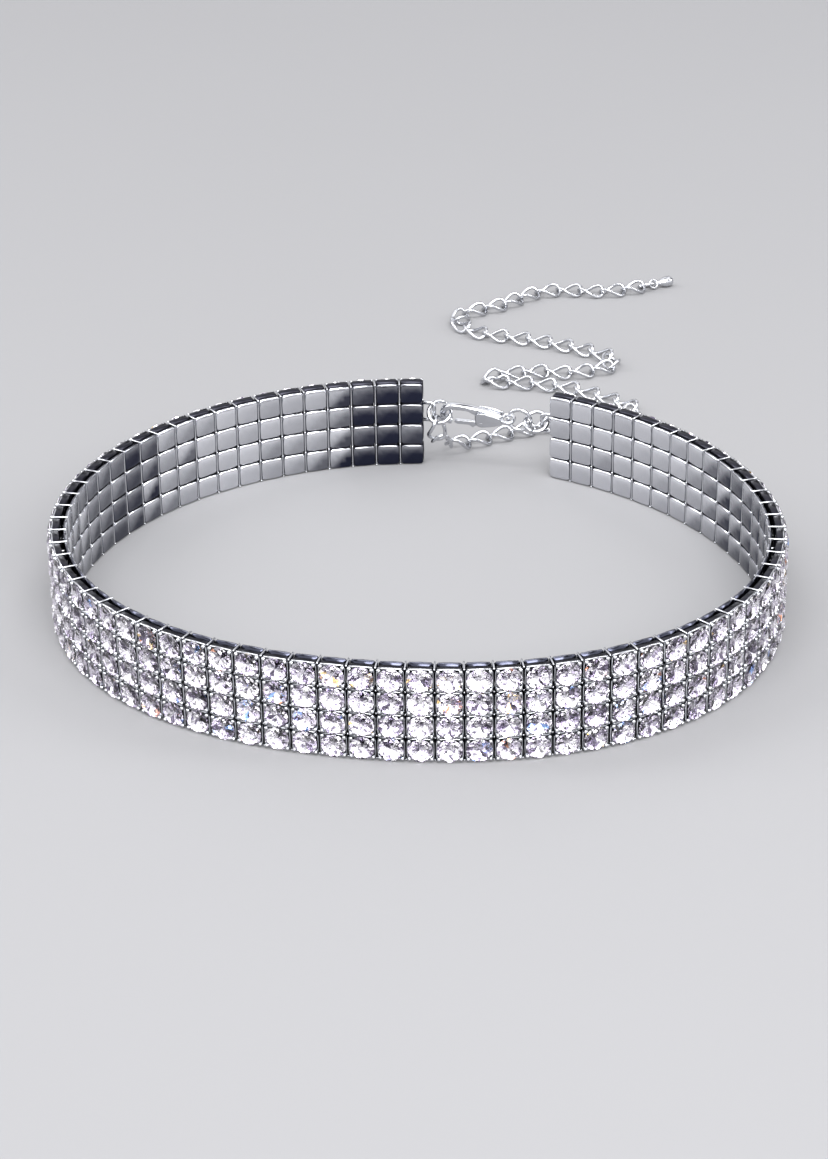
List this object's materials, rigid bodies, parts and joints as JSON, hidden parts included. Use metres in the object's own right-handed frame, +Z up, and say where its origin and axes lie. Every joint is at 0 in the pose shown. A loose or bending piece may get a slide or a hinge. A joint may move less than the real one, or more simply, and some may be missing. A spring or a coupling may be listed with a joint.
{
  "type": "choker necklace",
  "caption": "Wide choker necklace of square cups with clear cut stones, lined with silver tiles and closed in a loop by a lobster clasp, with a spare chain and a drop.",
  "frame": {"origin": "middle of the bounding box, on the surface that the necklace lies on", "axes": "+Z up from the surface; -Y towards the viewer, where the front of the band is; +X to the viewer's right"},
  "size_m": [0.1174, 0.1822, 0.0156],
  "materials": {
    "silver": "polished silver-tone metal",
    "crystal": "clear foil-backed cut stones in polished silver-tone cups"
  },
  "bodies": {
    "necklace": {"stone_band_left": "crystal", "stone_band_right": "crystal", "hook_ring": "silver", "clasp_body": "silver", "clasp_ring": "silver", "band_ring": "silver", "extender_chain": "silver", "end_ring": "silver", "end_drop": "silver"},
    "clasp_lever": {"clasp_lever": "silver"}
  },
  "joints": [
    {"name": "lever_hinge", "type": "hinge", "parent": "necklace", "child": "clasp_lever", "pos_m": [0.01185, 0.00918, 0.00884], "axis": [0.2379, 0.8745, 0.4226], "range_deg": [0, 20], "stiffness_Nm_per_rad": 0.005}
  ]
}
